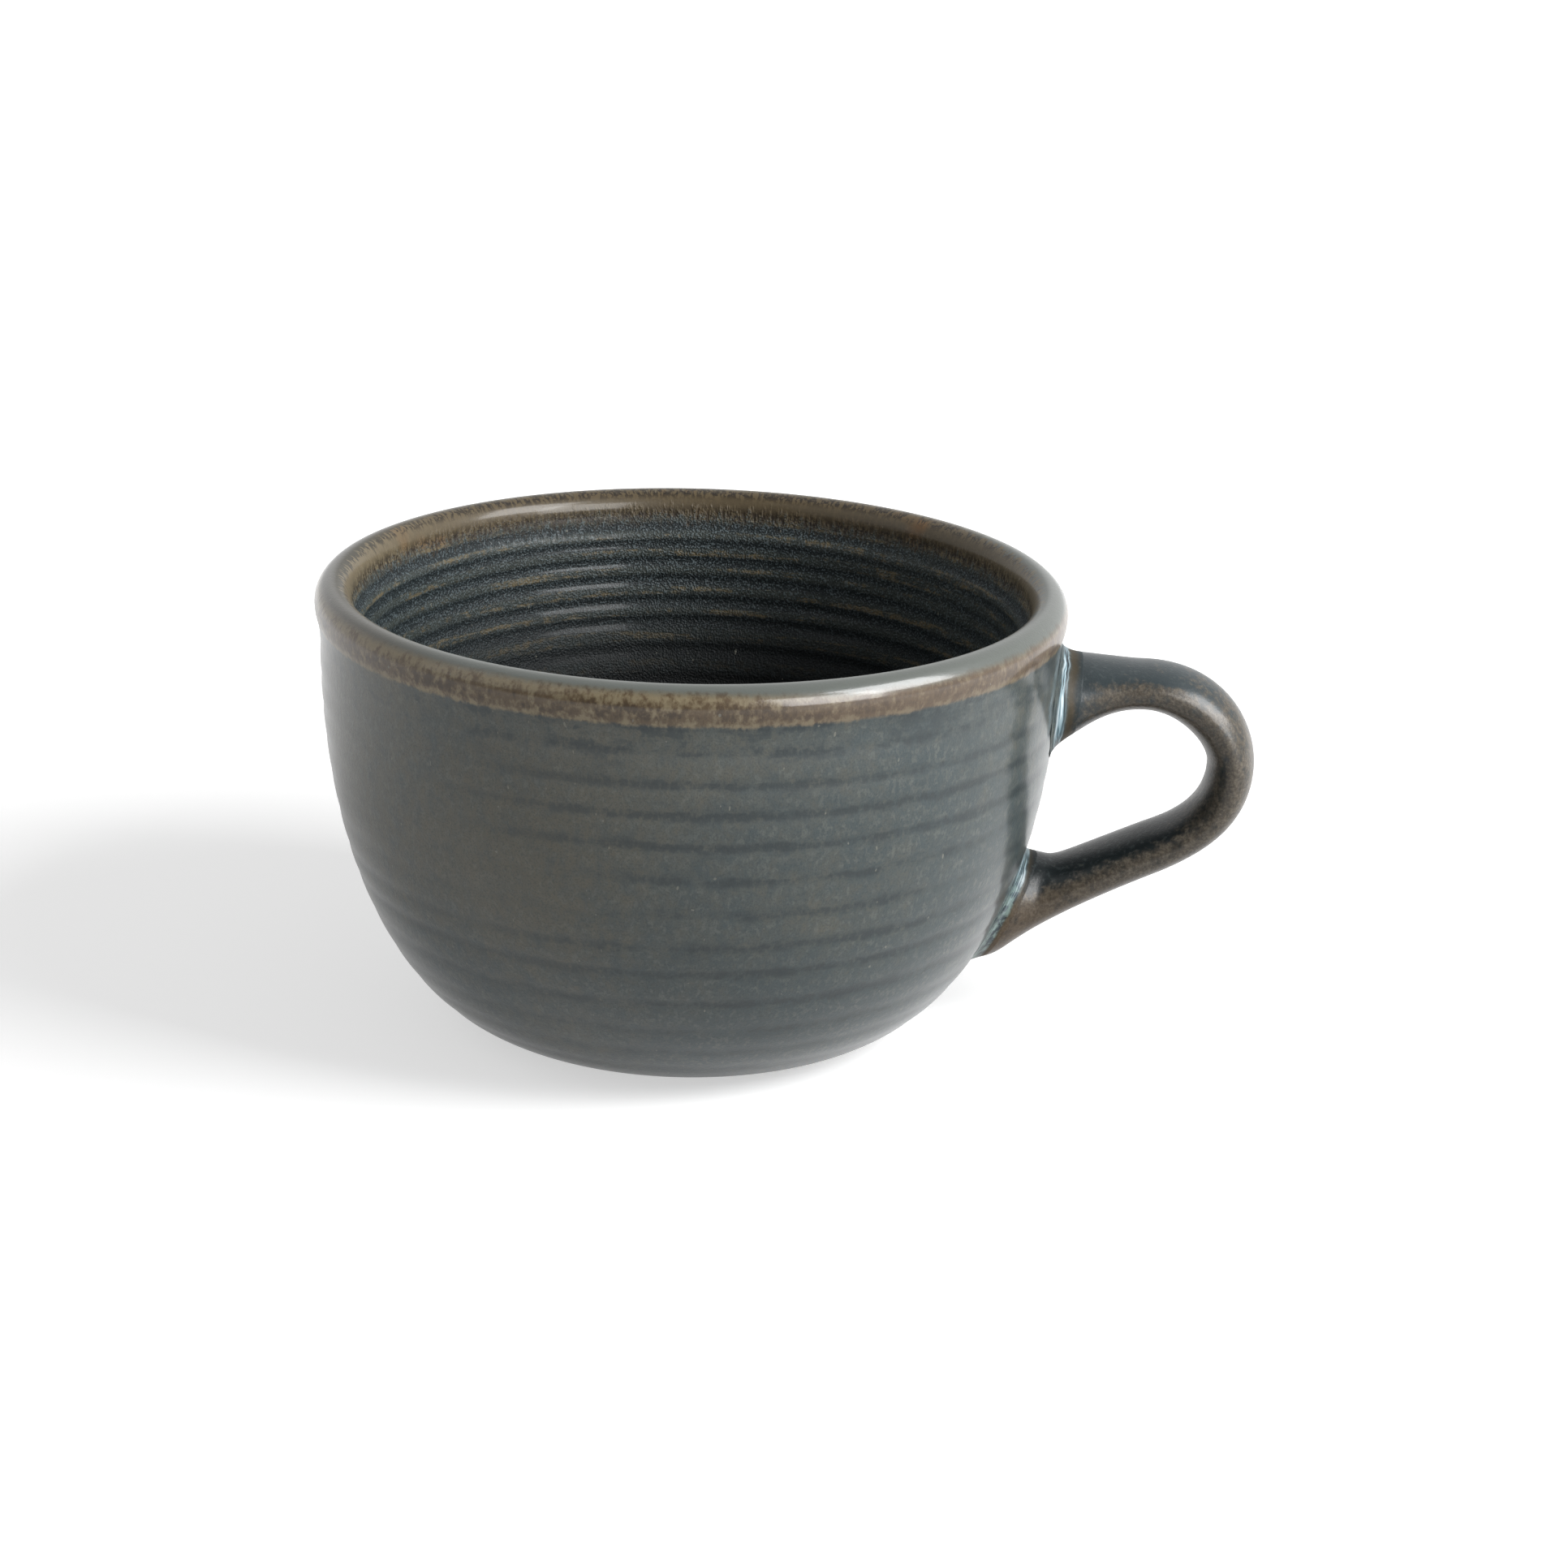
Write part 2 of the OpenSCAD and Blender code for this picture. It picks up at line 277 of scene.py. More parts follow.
# %% [markdown]
# ## The pulled handle
# A pulled handle is a strap that bends in one sweep and flares where it was pressed on. A
# bevelled curve would keep one thickness, but a pulled strap changes. So it is carried between
# two rails, outer and inner, each of four cubic curves, with an oval across. Its end rows are
# laid on the wall, a little below the surface.

# %% Handle sizes
handle_reach, handle_t = 28.1 * mm, 6.7 * mm
handle_w, joint_w = 13 * mm, 17 * mm
handle_top_z, upper_arm, bend_z = cup_h - 9.8 * mm, 11.8 * mm, cup_h - 24.5 * mm
heel_out, heel_z, arm_slope = 15.6 * mm, 23.6 * mm, math.radians(24.7)
upper_joint_top, upper_joint_h = cup_h - 9.1 * mm, 12.8 * mm
lower_joint_z, lower_joint_h = 9.2 * mm, 15.8 * mm
lead_share = 0.3
inner_lead_share, inner_rise_share, inner_settle_share = 0.32, 0.1, 0.58
outer_bend_shares, inner_bend_shares = (0.64, 0.48, 0.56, 0.44), (0.54, 0.39, 0.69, 0.41)
outer_arm_shares, inner_arm_shares = (0.9, 0.23), (0.97, 0.36)
arm_dir = np.array([-math.cos(arm_slope), -math.sin(arm_slope)])
arm_normal = np.array([-math.sin(arm_slope), math.cos(arm_slope)])
print("handle reaches", round((belly_r + handle_reach) / mm, 1), "mm out")


# %% Handle rails
def wall_point(z):
    """The wall's outside at height z, as [radius, height]."""
    return np.array([float(outer_r(z)), z])


outer_stops = [wall_point(upper_joint_top), np.array([belly_r + upper_arm, handle_top_z]),
               np.array([belly_r + handle_reach, bend_z]), np.array([belly_r + heel_out, heel_z]),
               wall_point(lower_joint_z)]
inner_stops = [wall_point(upper_joint_top - upper_joint_h), outer_stops[1] - [0, handle_t],
               outer_stops[2] - [handle_t, 0], outer_stops[3] + handle_t * arm_normal,
               wall_point(lower_joint_z + lower_joint_h)]


def bends(stops, bend_shares, arm_shares):
    """The bend out, the bend back and the lower arm, from a rail's stops and its pull shares."""
    top, far, heel, end = stops[1:]
    out_share, down_share, back_share, heel_share = bend_shares
    run = np.linalg.norm(end - heel)
    bend_out = [top, top + [out_share * (far[0] - top[0]), 0],
                far + [0, down_share * (top[1] - far[1])], far]
    bend_back = [far, far - [0, back_share * (far[1] - heel[1])],
                 heel - heel_share * (far[0] - heel[0]) * arm_dir, heel]
    arm = [heel, heel + arm_shares[0] * run * arm_dir, end + [arm_shares[1] * run, 0], end]
    return [bend_out, bend_back, arm]


outer_rail = np.array([[outer_stops[0], outer_stops[0] + [lead_share * upper_arm, 0],
                        outer_stops[1] - [lead_share * upper_arm, 0], outer_stops[1]]]
                      + bends(outer_stops, outer_bend_shares, outer_arm_shares))
inner_rail = np.array([[inner_stops[0],
                        inner_stops[0] + [inner_lead_share * upper_arm, inner_rise_share * upper_joint_h],
                        inner_stops[1] - [inner_settle_share * upper_arm, 0], inner_stops[1]]]
                      + bends(inner_stops, inner_bend_shares, inner_arm_shares))
print("rails of", len(outer_rail), "curves each")


# %% Handle surface
def cubic(a, b, c, d, t):
    """(1-t)^3 a + 3 (1-t)^2 t b + 3 (1-t) t^2 c + t^3 d."""
    return (1 - t) ** 3 * a + 3 * (1 - t) ** 2 * t * b + 3 * (1 - t) * t**2 * c + t**3 * d


def rail_point(rail, s):
    """The cubic curve number floor(s) of a rail, at t = s - floor(s)."""
    leg = np.minimum(s.astype(int), 3)
    a, b, c, d = (rail[leg, k] for k in range(4))
    return cubic(a, b, c, d, (s - leg)[..., None])


def half_width(s):
    """Half the strap's width: handle_w / 2, flaring to joint_w / 2 over the first and last curve."""
    flare = np.clip(1 - s, 0, 1) ** 2 + np.clip(s - 3, 0, 1) ** 3
    return handle_w / 2 + (joint_w - handle_w) / 2 * flare


def strap(s, turn, grow):
    """Oval across the rails at s: middle + half (out - in) cos turn, half width times sin turn,
    let out all round by grow."""
    out, back = rail_point(outer_rail, s), rail_point(inner_rail, s)
    middle, half = (out + back) / 2, (out - back) / 2
    reach = half * (1 + grow / np.linalg.norm(half, axis=-1))[..., None]
    side = (half_width(s) + grow) * np.sin(turn)
    level = middle + reach * np.cos(turn)[..., None]
    return np.stack([level[..., 0], side, level[..., 1]], -1)


print("strap", round(2 * float(half_width(2.0)) / mm, 1), "mm wide at the bend")


# %% Where the handle's glaze is thin or dark
def glaze_facts(s, turn):
    """Thin glaze where the strap's edge turns, where it faces down (which is its inner side above
    the bend and its outer side below) and on the bend, less so near the upper joint. Dark glaze
    past the bend and at the upper joint."""
    past_bend = ease((s - 1.5) / 0.9)
    on_bend = ease((s - 0.9) / 0.8) * ease((3.0 - s) / 0.8)
    edge = 0.9 * ease((np.abs(np.sin(turn)) - 0.7) / 0.3)
    faces_down = ease(0.5 - 1.5 * np.cos(turn) * (1 - 2 * past_bend))
    from_joint = 0.4 + 0.6 * ease((s - 0.15) / 0.7)
    thin = np.maximum(np.maximum(edge, faces_down) * from_joint, 0.75 * on_bend)
    dark = np.maximum(past_bend, 0.6 * (1 - ease(s / 0.5)))
    return {"thin_glaze": thin, "dark_glaze": dark}


print("glaze facts", list(glaze_facts(np.zeros(1), np.zeros(1))))


# %% Handle mesh
def laid_on_wall(points, depth):
    """The same y and z, with x where the wall's outside, less depth, meets them."""
    y, z = points[..., 1], points[..., 2]
    x = np.sqrt(np.maximum((outer_r(z) - depth) ** 2 - y**2, 0))
    return np.stack([x, y, z], -1)


end_depth = 0.6 * mm
hand_unevenness = 0.12 * mm
even_start, even_end = 0.4, 3.8
lump_along, lump_round, lump_fade = 3.1, 2, 5.3
arm_rows, bend_rows, foot_rows, strap_columns = 60, 130, 70, 96
strap_turn = -np.linspace(0, 2 * math.pi, strap_columns, endpoint=False)[None, :]
strap_s = np.concatenate([np.linspace(0, 1, arm_rows)[:-1], np.linspace(1, 3, bend_rows)[:-1],
                          np.linspace(3, 4, foot_rows)])[:, None]
strap_s, strap_turns = np.broadcast_arrays(strap_s, strap_turn)
settle = ease(np.minimum(strap_s - even_start, even_end - strap_s) * 2)
lump = np.sin(lump_along * strap_s + lump_round * strap_turns) * np.sin(lump_fade * strap_s)
lumps = -hand_unevenness * settle * (1 + lump) / 2
strap_grid = strap(strap_s, strap_turns, lumps)
strap_grid[0] = laid_on_wall(strap_grid[0], end_depth)
strap_grid[-1] = laid_on_wall(strap_grid[-1], end_depth)
end_poles = [np.broadcast_to(strap_grid[k].mean(0), (1, *strap_grid.shape[1:])) for k in (0, -1)]
strap_grid = np.concatenate([end_poles[0], strap_grid, end_poles[1]])
fact_s = np.concatenate([strap_s[:1], strap_s, strap_s[-1:]])
fact_turn = np.concatenate([strap_turns[:1], strap_turns, strap_turns[-1:]])
handle = skin("handle_skin", strap_grid, False, glaze_facts(fact_s, fact_turn))

# %% [markdown]
# ## The slip in the corners
# Where the handle meets the wall, slip is pressed in and wiped with a finger, which leaves a
# small hollow curve all round, and glaze pools there. It could be a bevel, but the corner is
# between two round forms. So it is a band of its own: it leaves the wall, dips towards the
# corner and runs up the handle, and its back lies a little inside both.

# %% Slip fillets
slip_leg, slip_run = 1.8 * mm, 3 * mm
slip_lift, slip_back = 0.02 * mm, 0.35 * mm
tuck_share, hidden_share, slip_pull = 0.12, 0.9, 0.6
slip_columns, slip_rows = 128, 26
nudge = 0.02


def slip_band(name, start, step):
    """A cubic curve across the band: it starts on the wall, slip_leg from the corner, and heads for
    the corner; it ends on the handle, slip_run along it, in line with the handle's own surface.
    step gives the way along s from the joint, and a nudge that way shows how fast s runs."""
    turn = np.linspace(0, 2 * math.pi, slip_columns, endpoint=False)[None, :]
    ring = np.full(turn.shape, float(start))
    corner = laid_on_wall(strap(ring, turn, 0), 0)
    spread = laid_on_wall(strap(ring, turn, slip_leg), -slip_lift)
    reach = strap(ring + step * nudge, turn, 0) - strap(ring, turn, 0)
    far = ring + step * nudge * slip_run / np.linalg.norm(reach, axis=-1).mean()
    climbed = strap(far, turn, slip_lift)
    onward = strap(far + step * nudge / 2, turn, slip_lift) - climbed
    onward = onward / np.linalg.norm(onward, axis=-1)[..., None]
    v = np.linspace(0, 1, slip_rows)[:, None, None]
    face = cubic(spread, spread + slip_pull * (corner - spread),
                 climbed - slip_pull * slip_run * onward, climbed, v)
    tucked_up = strap(far + (far - ring) * tuck_share, turn, -slip_lift * 2)
    tucked_down = laid_on_wall(strap(ring, turn, slip_leg * (1 + tuck_share)), slip_lift * 2)
    hidden = np.concatenate([tucked_up, strap(far, turn, -slip_back), laid_on_wall(corner, slip_back),
                             laid_on_wall(strap(ring, turn, slip_leg * hidden_share), slip_back),
                             tucked_down])
    band = np.concatenate([face, hidden])
    across = np.concatenate([v[:, 0], [[1.0], [0.5], [0.5], [0.5], [0.0]]])
    facts = {"across": across, **glaze_facts(ring + (far - ring) * across, turn)}
    if step > 0:
        band = band[::-1]
        facts = {fact: values[::-1] for fact, values in facts.items()}
    return skin(name, band, True, facts)


upper_slip = slip_band("upper_slip_skin", 0, 1)
lower_slip = slip_band("lower_slip_skin", 4, -1)

# %% [markdown]
# ## Nodes in a few words
# A glaze takes many nodes, so a few helpers keep each line short: one makes a node and fills
# its sockets, and the others wrap the sums, blends and noises that every glaze needs.

# %% Node helpers: colours, nodes and sums
def tone(red, green, blue):
    """A colour as a screen shows it, from 0 to 255, as the linear colour that nodes use."""
    shown = np.array([red, green, blue]) / 255
    linear = np.where(shown <= 0.04045, shown / 12.92, ((shown + 0.055) / 1.055) ** 2.4)
    return (*linear.tolist(), 1.0)


def node(tree, kind, inputs, **settings):
    """A node with its settings, whose sockets are linked to sockets or set to values."""
    made = tree.nodes.new(kind)
    for setting, value in settings.items():
        setattr(made, setting, value)
    for socket, value in inputs.items():
        if isinstance(value, bpy.types.NodeSocket):
            tree.links.new(value, made.inputs[socket])
        else:
            made.inputs[socket].default_value = value
    return made


def calc(tree, operation, a, b=0.0):
    """One sum, clamped only where the operation does it."""
    return node(tree, "ShaderNodeMath", {0: a, 1: b}, operation=operation).outputs[0]


def times(tree, *factors):
    """The product of sockets and numbers."""
    so_far = factors[0]
    for factor in factors[1:]:
        so_far = calc(tree, "MULTIPLY", so_far, factor)
    return so_far


def total(tree, *terms):
    """The sum of terms: each is a socket, a number, or a pair of a socket and its weight."""
    parts = [times(tree, *term) if isinstance(term, tuple) else term for term in terms]
    so_far = parts[0]
    for part in parts[1:]:
        so_far = calc(tree, "ADD", so_far, part)
    return so_far


print("middle grey as nodes see it", tone(128, 128, 128))


# %% Node helpers: blends, masks and noise
def blend(tree, mask, a, b):
    """a where the mask is 0, b where it is 1."""
    return node(tree, "ShaderNodeMix", {0: mask, 6: a, 7: b}, data_type="RGBA").outputs[2]


def over(tree, base, colour, mask, share):
    """The colour laid over base where the mask is 1, with a share of its full strength."""
    return blend(tree, times(tree, mask, share), base, colour)


def fade(tree, value, low, high):
    """A smooth step from 0 at low to 1 at high, or the other way round where low is the larger."""
    up = low < high
    ends = {0: value, 1: min(low, high), 2: max(low, high), 3: 0.0 if up else 1.0, 4: 1.0 if up else 0.0}
    return node(tree, "ShaderNodeMapRange", ends, interpolation_type="SMOOTHSTEP").outputs[0]


def noise(tree, vector, per_mm, upright=1.0, detail=2.0, roughness=0.5):
    """Noise with about per_mm spots to the millimetre, drawn out upright times along Z."""
    size = per_mm / mm
    mapped = node(tree, "ShaderNodeMapping", {0: vector, 3: (size, size, size / upright)})
    made = {0: mapped.outputs[0], "Scale": 1.0, "Detail": detail, "Roughness": roughness}
    return node(tree, "ShaderNodeTexNoise", made).outputs[0]


def far_from(tree, vector, shift, scale):
    """How far a point is from the middle of an oval: the length of vector times scale plus shift."""
    mapped = node(tree, "ShaderNodeMapping", {0: vector, 1: shift, 3: scale}).outputs[0]
    return node(tree, "ShaderNodeVectorMath", {0: mapped}, operation="LENGTH").outputs["Value"]


def apart(tree, vector):
    """The x, y and z of a vector."""
    return node(tree, "ShaderNodeSeparateXYZ", {0: vector}).outputs


# %% Group helpers
def group(name, inputs, outputs):
    """An empty node group with its sockets, and the two nodes that carry them."""
    tree = bpy.data.node_groups.new(name, "ShaderNodeTree")
    for direction, sockets in (("INPUT", inputs), ("OUTPUT", outputs)):
        for label, kind in sockets.items():
            tree.interface.new_socket(label, in_out=direction, socket_type="NodeSocket" + kind)
    return tree, tree.nodes.new("NodeGroupInput").outputs, tree.nodes.new("NodeGroupOutput").inputs


def use(tree, grouped, inputs):
    """The outputs of a node group placed in a tree."""
    return node(tree, "ShaderNodeGroup", inputs, node_tree=grouped).outputs


# %% [markdown]
# ## What the kiln does to a glaze
# A reactive glaze is never one colour: it clouds, mottles, beads into fine cells and grain, and
# throws a few pale crystals. All three finishes on the cup show this, so it is one group, and
# each finish takes what it needs.

# %% Kiln marks
kiln_marks, given, out = group("kiln_marks", {"Vector": "Vector"}, {
    "Cloud": "Float", "Mottle": "Float", "Cells": "Float", "Grain": "Float", "Speck": "Float"})
vector = given["Vector"]
crystals = noise(kiln_marks, vector, 1.7, 1.6, 0)
kiln_marks.links.new(noise(kiln_marks, vector, 0.045, 1.0, 3), out["Cloud"])
kiln_marks.links.new(noise(kiln_marks, vector, 0.5, 1.3, 4, 0.6), out["Mottle"])
kiln_marks.links.new(noise(kiln_marks, vector, 1.3, 1.5, 3, 0.6), out["Cells"])
kiln_marks.links.new(noise(kiln_marks, vector, 3.4, 1.0, 1), out["Grain"])
kiln_marks.links.new(fade(kiln_marks, crystals, 0.84, 0.88), out["Speck"])
print("group", kiln_marks.name)

# %% [markdown]
# ## The slate glaze
# Outside, the glaze is brown-grey to blue-grey, and darker in the rings where it gathers. It
# breaks tan and brown on the roll below the lip and again just inside the lip; on the right of
# the roll the band sits lower and takes a rose tint, partly painted highlight. Inside it is thick
# and nearly black, with brown on the crests, painted glints higher up and painted shade lower
# down. It could be painted, but paint knows nothing of the form. So masks are built from how deep
# a point lies in a ring, where it is, and its walk: the way from the top of the lip in
# millimetres, which is negative inside.

# %% Where a point of the glaze lies
slate, given, out = group("slate_glaze", {"Vector": "Vector", "Groove": "Float", "Walk": "Float"},
                          {"Color": "Color", "Height": "Float", "Gloss": "Float"})
vector, groove, walk = given["Vector"], given["Groove"], given["Walk"]
marks = use(slate, kiln_marks, {"Vector": vector})
x, y, z = apart(slate, vector)
flat = node(slate, "ShaderNodeCombineXYZ", {0: x, 1: y, 2: 0.0}).outputs[0]
outward = node(slate, "ShaderNodeVectorMath", {0: flat}, operation="NORMALIZE").outputs["Vector"]
out_x, out_y, _ = apart(slate, outward)
unrolled = node(slate, "ShaderNodeCombineXYZ", {
    0: times(slate, out_x, rim_r), 1: times(slate, out_y, rim_r), 2: times(slate, walk, mm)}).outputs[0]
hair = noise(slate, unrolled, 1.7, 2.6, 2)
drift = calc(slate, "SUBTRACT", noise(slate, vector, 0.16, 0.4, 3, 0.6), 0.5)
cloud = calc(slate, "SUBTRACT", marks["Cloud"], 0.5)
patch = times(slate, calc(slate, "SUBTRACT", marks["Mottle"], 0.5), 0.9)
cell = calc(slate, "SUBTRACT", marks["Cells"], 0.5)
low_part = fade(slate, z, 36 * mm, 12 * mm)
# The right side, where the roll's band is lowered and tinted, partly as painted highlight.
highlight_side = fade(slate, x, 0.0, 30 * mm)
at_back = fade(slate, y, 4 * mm, 40 * mm)
print("masks", len(slate.nodes), "nodes")

# %% Slate glaze on the wall
warm_grey, cool_grey, brown_haze = tone(81, 81, 73), tone(58, 68, 70), tone(84, 78, 62)
ring_dark, ring_core = tone(43, 52, 54), tone(33, 42, 45)
pale_cell, pale_speck = tone(104, 106, 98), tone(118, 118, 108)
haze_shift, haze_scale = (1.1, 0, -1.7), (48, 0, 48)

lean = total(slate, (cloud, 0.9), (patch, 1.1), (cell, 0.7), (x, 4.5), (low_part, 0.25))
wall = blend(slate, fade(slate, lean, -0.38, 0.36), warm_grey, cool_grey)
wall = over(slate, wall, pale_cell, fade(slate, marks["Cells"], 0.46, 0.68), 0.42)
haze = total(slate, far_from(slate, vector, haze_shift, haze_scale), (patch, 1.5))
wall = over(slate, wall, brown_haze, fade(slate, haze, 1.1, 0.2), 0.35)
curdled = total(slate, (drift, 1.6), patch, cell, (x, 2.5))
curdled = times(slate, fade(slate, curdled, -0.04, 0.26), fade(slate, walk, 13.5, 8.5))
wall = over(slate, wall, ring_dark, curdled, 0.7)
wall = over(slate, wall, ring_dark, fade(slate, marks["Grain"], 0.5, 0.66), 0.35)
print("wall", len(slate.nodes), "nodes")

# %% Dark glaze in the rings
lined = calc(slate, "MAXIMUM", fade(slate, x, -42 * mm, 4 * mm), low_part)
frayed = total(slate, groove, (cell, 1.5), (patch, 0.5))
halo = fade(slate, total(slate, frayed, (drift, 2.2)), 0.1, 0.9)
wall = over(slate, wall, ring_dark, times(slate, halo, lined), 0.5)
core = fade(slate, total(slate, frayed, (drift, 1.2)), 0.45, 0.98)
wall = over(slate, wall, ring_core, times(slate, core, lined), 0.65)
print("rings", len(slate.nodes), "nodes")

# %% Green glaze spilt round the lower joint
spill_dark, spill_green = tone(44, 55, 57), tone(92, 106, 102)
spill_shift, spill_scale = (0, 0, -1.4), (0, 76, 84)

from_joint = far_from(slate, vector, spill_shift, spill_scale)
spill = fade(slate, total(slate, from_joint, patch), 1.2, 0.85)
spill = times(slate, spill, fade(slate, x, 20 * mm, 30 * mm), fade(slate, z, 25 * mm, 19 * mm))
spill_look = blend(slate, fade(slate, marks["Cells"], 0.4, 0.6), spill_dark, spill_green)
wall = over(slate, wall, spill_look, spill, 0.6)
print("spill", len(slate.nodes), "nodes")

# %% Brown break on the roll below the lip
break_brown, break_tan, break_dark = tone(86, 72, 54), tone(124, 113, 90), tone(56, 46, 35)
# The rose colour is partly the band's own and partly painted highlight from the window at the right.
rose_break_and_sheen = tone(94, 80, 69)

band_walk = total(slate, walk, patch, (cell, 0.7))
# Painted highlight, in part: at the right the band starts lower, so the lighter lip grey runs down where
# the window shines on the roll.
band_top = fade(slate, calc(slate, "SUBTRACT", band_walk, highlight_side), 1.0, 2.4)
on_band = times(slate, band_top, fade(slate, band_walk, 6.5, 5.9))
mid_band = times(slate, fade(slate, walk, 2.4, 3.8), fade(slate, walk, 6.0, 5.0))
blotch = total(slate, patch, (cell, 1.1), (mid_band, 0.22), (x, 0.6))
band = blend(slate, fade(slate, blotch, -0.12, 0.24), break_tan, break_brown)
burnt = times(slate, mid_band, fade(slate, total(slate, blotch, drift), 0.14, 0.42))
band = over(slate, band, break_dark, burnt, 0.8)
# Partly painted highlight: the rose tint on the right of the band.
band = over(slate, band, rose_break_and_sheen, highlight_side, 0.4)
print("roll", len(slate.nodes), "nodes")

# %% Grey and olive glaze on top of the lip
lip_grey, lip_warm, lip_olive = tone(88, 92, 88), tone(60, 57, 47), tone(92, 81, 62)
hair_brown = tone(40, 34, 27)

olive = times(slate, at_back, fade(slate, x, 48 * mm, 34 * mm))
lip_top = blend(slate, fade(slate, x, -25 * mm, -46 * mm), lip_grey, lip_warm)
lip_top = over(slate, lip_top, lip_olive, olive, 0.8)
curl = calc(slate, "ABSOLUTE", calc(slate, "SUBTRACT", noise(slate, vector, 0.9, 1.0, 2), 0.5))
curl = times(slate, fade(slate, curl, 0.09, 0.03), fade(slate, hair, 0.4, 0.5))
lip_top = over(slate, lip_top, hair_brown, times(slate, curl, olive), 0.8)
outer_look = blend(slate, band_top, lip_top, wall)
outer_look = blend(slate, on_band, outer_look, band)
print("lip", len(slate.nodes), "nodes")

# %% Thick glaze inside, with painted glints and painted shade
crest_grey, crest_tan, deep_blue = tone(56, 61, 58), tone(120, 106, 78), tone(27, 34, 36)
# The glint colour is a painted highlight.
# The two bottom colours are painted shade.
painted_glint_blue, deep_shade_dark, deep_shade_slate = tone(104, 116, 120), tone(9, 12, 13), tone(27, 34, 36)

sway = total(slate, groove, (total(slate, patch, cell), 0.5))
inner_wall = blend(slate, fade(slate, sway, -0.1, 0.4), crest_grey, deep_blue)
streak = fade(slate, total(slate, noise(slate, vector, 0.07, 0.06, 2), patch), 0.52, 0.7)
streak = times(slate, streak, fade(slate, sway, 0.2, 0.0), fade(slate, z, 20 * mm, 45 * mm))
inner_wall = over(slate, inner_wall, crest_tan, streak, 0.65)
# Painted highlight: pale blue-white glints put into the colour on grain spots, more of them higher up the
# inside.
painted_glints = times(slate, fade(slate, marks["Grain"], 0.52, 0.64), fade(slate, z, 28 * mm, 54 * mm))
inner_wall = over(slate, inner_wall, painted_glint_blue, painted_glints, 0.48)
# Painted shade: from 55 mm down the inside is blended towards near-black, fully by about 30 mm, and less
# again towards the floor.
deep_shade = times(slate, fade(slate, z, 55 * mm, 32 * mm), fade(slate, z, -10 * mm, 30 * mm))
deep_shade_look = times(slate, fade(slate, marks["Cells"], 0.42, 0.68), fade(slate, sway, 0.5, -0.1))
deep_shade_look = blend(slate, deep_shade_look, deep_shade_dark, deep_shade_slate)
inner_wall = blend(slate, deep_shade, inner_wall, deep_shade_look)
print("inside", len(slate.nodes), "nodes")

# %% Tan and amber break inside the lip
inner_tan, back_tan, inner_amber = tone(108, 98, 78), tone(85, 74, 55), tone(122, 86, 46)

inner_walk = total(slate, walk, (calc(slate, "SUBTRACT", hair, 0.5), 6.0))
tan_from = fade(slate, total(slate, inner_walk, (at_back, -1.3)), -1.1, -2.2)
tan_to = fade(slate, inner_walk, -6.8, -4.4)
lip_tan = blend(slate, at_back, inner_tan, back_tan)
amber = times(slate, fade(slate, noise(slate, vector, 0.09, 1.0, 2), 0.54, 0.68), at_back)
lip_tan = over(slate, lip_tan, inner_amber, amber, 0.7)
edges = calc(slate, "MAXIMUM", fade(slate, walk, -2.8, -1.4), fade(slate, walk, -3.2, -5.2))
hairs = calc(slate, "MAXIMUM", curl, times(slate, fade(slate, hair, 0.5, 0.58), 0.8))
hairs = times(slate, hairs, total(slate, edges, 0.15))
lip_tan = over(slate, lip_tan, hair_brown, hairs, 0.9)
inner_look = blend(slate, tan_to, inner_wall, lip_tan)
inner_look = blend(slate, tan_from, lip_top, inner_look)
print("inner edge", len(slate.nodes), "nodes")

# %% What the slate glaze gives: colour, relief and gloss
look = blend(slate, fade(slate, walk, -0.9, -0.6), inner_look, outer_look)
slate.links.new(over(slate, look, pale_speck, marks["Speck"], 0.6), out["Color"])

fine_share = total(slate, (fade(slate, inner_walk, -3.5, -6.0), 8.0), 0.7)
raised = total(slate, (marks["Grain"], fine_share), (marks["Mottle"], 0.8))
slate.links.new(raised, out["Height"])

inner_gloss = fade(slate, z, 36 * mm, 52 * mm)
inner_gloss = times(slate, inner_gloss, fade(slate, inner_walk, -6.5, -10.0), 0.4)
lip_gloss = times(slate, fade(slate, walk, -6.0, -3.6), 0.5)
lip_gloss = calc(slate, "MAXIMUM", fade(slate, walk, -1.6, 0.2), lip_gloss)
slate.links.new(calc(slate, "MAXIMUM", lip_gloss, inner_gloss), out["Gloss"])
print("group", slate.name, len(slate.nodes), "nodes")

# %% [markdown]
# ## The handle's glaze
# The same glaze runs thin over the strap's round edges and breaks brown there, most on the
# bend and the underside, and stays dark slate on the flat of the upper arm. The bowl's group
# could be used again, but the strap has no lip or rings to follow, so it has a group of its own.

# %% Handle glaze
strap_slate, strap_dark, strap_pale = tone(45, 53, 56), tone(21, 27, 29), tone(76, 84, 84)
strap_brown, strap_tan, strap_foot = tone(65, 59, 51), tone(97, 90, 79), tone(88, 70, 50)

strap_glaze, given, out = group("strap_glaze", {"Vector": "Vector", "Thin": "Float", "Dark": "Float"},
                                {"Color": "Color", "Height": "Float"})
vector = given["Vector"]
_, _, z = apart(strap_glaze, vector)
marks = use(strap_glaze, kiln_marks, {"Vector": vector})
uneven = calc(strap_glaze, "SUBTRACT", total(strap_glaze, marks["Mottle"], marks["Cells"]), 1.0)
uneven = times(strap_glaze, uneven, 1.5)
fleck = total(strap_glaze, noise(strap_glaze, vector, 2.4, 1.0, 3, 0.65), (uneven, 0.12))
brown_look = blend(strap_glaze, fade(strap_glaze, fleck, 0.34, 0.76), strap_brown, strap_tan)
brown_look = over(strap_glaze, brown_look, strap_foot, fade(strap_glaze, z, 26 * mm, 14 * mm), 0.5)
